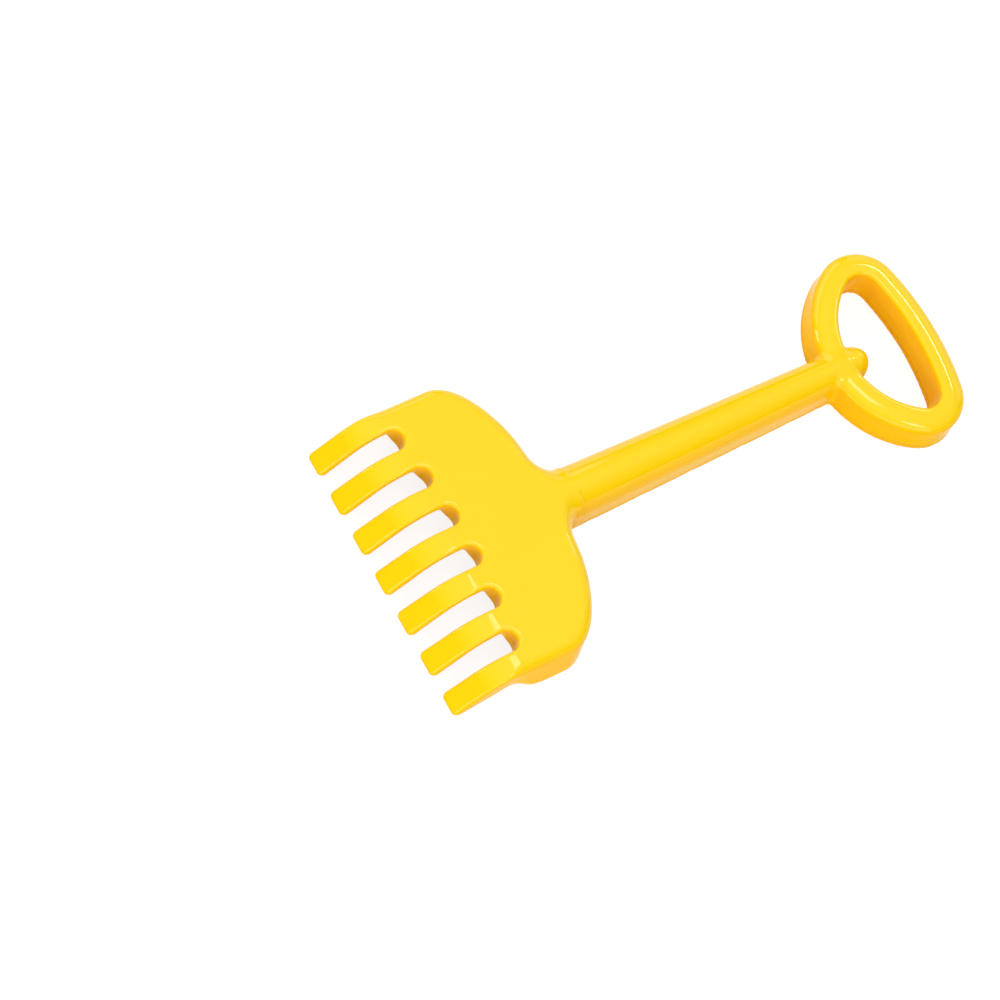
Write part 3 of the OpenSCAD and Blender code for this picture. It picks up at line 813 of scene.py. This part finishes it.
def plastic(name, skin, colour, wall, flow, gloss, scuff, ripple, shine, wall_shine, shaft_shine):
    """A glossy plastic with the moulded skin's shades, gloss and ripple, and painted shade in a deeper
    colour on its walls.
    """
    material = bpy.data.materials.new(name)
    material.use_nodes = True
    tree = material.node_tree
    shader = tree.nodes["Principled BSDF"]
    group = place_node(tree, "ShaderNodeGroup", node_tree=skin)
    # the walls' deeper colour is painted shade, laid on faces that turn away from overhead
    for key, value in (("Colour", colour), ("Shaded wall colour", wall), ("Flow", flow), ("Gloss", gloss),
                       ("Scuff", scuff), ("Shine", shine), ("Wall shine", wall_shine),
                       ("Shaft shine", shaft_shine)):
        group.inputs[key].default_value = value
    bump = place_node(tree, "ShaderNodeBump", {"Height": group.outputs["Height"], "Strength": ripple,
                                               "Distance": RIPPLE_HEIGHT * MM})
    tree.links.new(group.outputs["Colour"], shader.inputs["Base Color"])
    tree.links.new(group.outputs["Roughness"], shader.inputs["Roughness"])
    tree.links.new(bump.outputs["Normal"], shader.inputs["Normal"])
    shader.inputs["IOR"].default_value = 1.5
    tree.links.new(group.outputs["Shine"], shader.inputs["Specular IOR Level"])
    return material


skin = moulded_skin_group()
# each plastic's second colour is painted shade: a deeper colour laid on its walls by how they face
shell_plastic = plastic(
    "shell_plastic", skin, colour=(0.99, 0.68, 0.002, 1), wall=(0.99, 0.545, 0.001, 1), flow=0.12,
    gloss=0.04, scuff=0.3, ripple=0.02, shine=0.46, wall_shine=0.02, shaft_shine=0.08)
cover_plastic = plastic(
    "cover_plastic", skin, colour=(0.97, 0.60, 0.002, 1), wall=(0.97, 0.50, 0.002, 1), flow=0.2,
    gloss=0.12, scuff=0.6, ripple=0.05, shine=0.35, wall_shine=0.02, shaft_shine=0.02)
peg_plastic = plastic(
    "peg_plastic", skin, colour=(0.95, 0.57, 0.002, 1), wall=(0.95, 0.50, 0.002, 1), flow=0.2,
    gloss=0.16, scuff=0.6, ripple=0.06, shine=0.35, wall_shine=0.05, shaft_shine=0.05)


# The pieces

def dress(piece, node, material):
    """Paints a piece and lets it stand for its CAD node."""
    piece.data.materials.clear()
    piece.data.materials.append(material)
    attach(piece, "root")
    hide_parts(node)


head_half = TINE_ROW_HALF + PLATE_BRIM + MARGIN
loop_half = loop_high[1] + MARGIN
loop_rear = LOOP_END + BAND_W / 2 + MARGIN

head = moulded("sand_rake_head", head_distance, (TIP_X - MARGIN, -head_half, -MARGIN),
               (NECK_SEAM + MARGIN, head_half, PLATE_H + MARGIN), HEAD_CELL, [(NECK_SEAM, True)])
dress(head, "rake_head", shell_plastic)

grip = moulded("loop_grip", grip_distance, (GRIP_SEAM - MARGIN, -loop_half, COVER_T - MARGIN),
               (loop_rear, loop_half, PLATE_H), GRIP_CELL, [(GRIP_SEAM, False)])
dress(grip, "grip_shell", shell_plastic)

grip_cover = moulded("loop_grip_cover", grip_cover_distance, (GRIP_SEAM - MARGIN, -loop_half, -MARGIN),
                     (loop_rear + MARGIN, loop_half, COVER_T + MARGIN), COVER_CELL, [(GRIP_SEAM, False)])
dress(grip_cover, "grip_back_cover", cover_plastic)

shaft_cover = moulded("shaft_cover", shaft_cover_distance, (NECK_SEAM - MARGIN, -SHAFT_NECK_W, -MARGIN),
                      (GRIP_SEAM + MARGIN, SHAFT_NECK_W, COVER_T + MARGIN), COVER_CELL,
                      [(NECK_SEAM, False), (GRIP_SEAM, True)])
dress(shaft_cover, "shaft_back_cover", cover_plastic)

shaft = grown("round_shaft", shaft_tree(), {
    "Start": metres_along(NECK_SEAM), "End": metres_along(GRIP_SEAM),
    "Start half width": shaft_half(NECK_SEAM) * MM, "End half width": shaft_half(GRIP_SEAM) * MM,
    "Spring height": SIDE_H * MM, "Crown rise": CROWN_RISE * MM, "Foot height": COVER_T * MM,
    "Side lean": FOOT_LEAN / SIDE_H, "Sink depth": SINK_DEPTH * MM, "Sink radius": SINK_R * MM,
    "First sink": metres_along(NECK_SEAM + SINK_FROM_NECK),
    "Second sink": metres_along(GRIP_SEAM - SINK_FROM_GRIP),
}, shell_plastic, wall=SHAFT_WALL * MM)
dress(shaft, "shaft_shell", shell_plastic)

peg_pair = peg_tree()
for name, node, seam in (("neck_peg_pair", "neck_pegs", NECK_SEAM),
                         ("grip_peg_pair", "grip_pegs", GRIP_SEAM)):
    pegs = grown(name, peg_pair, {
        "Shank radius": PEG_D / 2 * MM, "Head radius": PEG_HEAD_D / 2 * MM,
        "Head height": PEG_HEAD_T * MM, "Length": (PEG_LEN - PEG_SINK) * MM, "Edge": PEG_EDGE * MM,
        "First place": metres_along(peg_places(seam)[0]), "Spacing": PEG_SPACING * MM,
        "Base height": PEG_SINK * MM,
    }, peg_plastic)
    dress(pegs, node, peg_plastic)


# Floor, light and camera, in metres

FLOOR_SIZE = 6.0
FLOOR_BOUNCE = (0.9, 0.9, 0.9, 1)
FLOOR_SEEN = (0.25, 0.25, 0.25, 1)
FLOOR_GLOW = 0.84


def seen_by_eye(tree):
    """1 for what the camera sees, itself or in a reflection, and 0 for light on its way."""
    path = tree.nodes.new("ShaderNodeLightPath").outputs
    seen = maths(tree, "MAXIMUM", path["Is Camera Ray"], path["Is Glossy Ray"])
    return maths(tree, "MAXIMUM", seen, path["Is Transmission Ray"])


def pale_floor():
    """A wide pale floor that reads as white, keeps a soft shadow and lights the walls from below."""
    mesh = bpy.data.meshes.new("floor")
    reach = FLOOR_SIZE / 2
    mesh.from_pydata([(-reach, -reach, 0), (reach, -reach, 0), (reach, reach, 0), (-reach, reach, 0)],
                     [], [(0, 1, 2, 3)])
    floor = link(bpy.data.objects.new("floor", mesh))
    material = bpy.data.materials.new("pale_floor")
    material.use_nodes = True
    tree = material.node_tree
    shader = tree.nodes["Principled BSDF"]
    shader.inputs["Roughness"].default_value = 0.7
    shader.inputs["Specular IOR Level"].default_value = 0.0
    shader.inputs["Emission Color"].default_value = (1, 1, 1, 1)
    seen = seen_by_eye(tree)
    tree.links.new(colour_between(tree, seen, FLOOR_BOUNCE, FLOOR_SEEN), shader.inputs["Base Color"])
    tree.links.new(maths(tree, "MULTIPLY", seen, FLOOR_GLOW), shader.inputs["Emission Strength"])
    mesh.materials.append(material)


def open_sky(overhead, horizon):
    """A plain white surround, brightest overhead and dark towards the horizon."""
    world = bpy.data.worlds.new("studio")
    world.use_nodes = True
    tree = world.node_tree
    shader = tree.nodes["Background"]
    shader.inputs["Color"].default_value = (1, 1, 1, 1)
    look = place_node(tree, "ShaderNodeSeparateXYZ",
                      {"Vector": tree.nodes.new("ShaderNodeTexCoord").outputs["Generated"]})
    height = maths(tree, "MAXIMUM", look.outputs["Z"], 0.0)
    level = maths(tree, "MULTIPLY_ADD", maths(tree, "POWER", height, 2.0), overhead - horizon, horizon)
    tree.links.new(level, shader.inputs["Strength"])
    bpy.context.scene.world = world


def soft_box(name, place, aim, size, power):
    """A flat lamp of some width and height, turned towards a point."""
    lamp = bpy.data.lights.new(name, "AREA")
    lamp.shape = "RECTANGLE"
    lamp.size, lamp.size_y = size
    lamp.energy = power
    box = link(bpy.data.objects.new(name, lamp))
    box.location = place
    box.rotation_euler = (Vector(aim) - Vector(place)).to_track_quat("-Z", "Y").to_euler()


def photo_camera(aim, azimuth, elevation, roll, distance, lens):
    """A camera on a ball round its aim, rolled about its own axis."""
    back = Vector((math.cos(elevation) * math.cos(azimuth), math.cos(elevation) * math.sin(azimuth),
                   math.sin(elevation)))
    level = Vector((0, 0, 1)).cross(back).normalized()
    upright = back.cross(level)
    right = math.cos(roll) * level + math.sin(roll) * upright
    up = back.cross(right)
    lens_data = bpy.data.cameras.new("photo_camera")
    lens_data.lens = lens
    lens_data.sensor_width = 36.0
    lens_data.sensor_fit = "AUTO"
    lens_data.clip_start = 0.05
    camera = link(bpy.data.objects.new("photo_camera", lens_data))
    turn = Matrix((right, up, back)).transposed().to_4x4()
    camera.matrix_world = Matrix.Translation(Vector(aim) + distance * back) @ turn
    bpy.context.scene.camera = camera


pale_floor()
open_sky(overhead=1.02, horizon=0.05)
# small lamps for the glints
soft_box("overhead_glint", place=(0.18, 0.10, 1.45), aim=(-0.1, 0, 0), size=(0.35, 0.4), power=1.9)
soft_box("bar_glint", place=(0.986, 0.344, 1.229), aim=(0.16, 0, 0.025), size=(0.3, 0.14), power=1.5)
soft_box("tine_glint", place=(-1.12, 1.16, 0.53), aim=(-0.14, 0, 0), size=(0.3, 0.6), power=4.5)
soft_box("root_glint", place=(0.0, -0.87, 1.22), aim=(-0.1, 0, 0), size=(0.25, 0.4), power=1.7)
# larger lamps that fill the walls from the four sides
soft_box("near_fill", place=(-0.7, -1.55, 0.75), aim=(0, 0, 0), size=(2.0, 1.0), power=12.5)
soft_box("front_fill", place=(-1.65, -0.44, 0.45), aim=(0, 0, 0), size=(1.0, 0.6), power=6.0)
soft_box("far_fill", place=(-0.1, 1.75, 0.8), aim=(0, 0, 0), size=(2.0, 1.0), power=9.0)
soft_box("rear_fill", place=(1.5, 0.6, 0.6), aim=(0, 0, 0), size=(2.0, 1.0), power=6.0)
photo_camera(aim=(-0.0937, 0.0119, 0.012), azimuth=math.radians(-148.39), elevation=math.radians(64.18),
             roll=math.radians(31.21), distance=1.828, lens=130.43)
bpy.context.scene.view_settings.view_transform = "Standard"
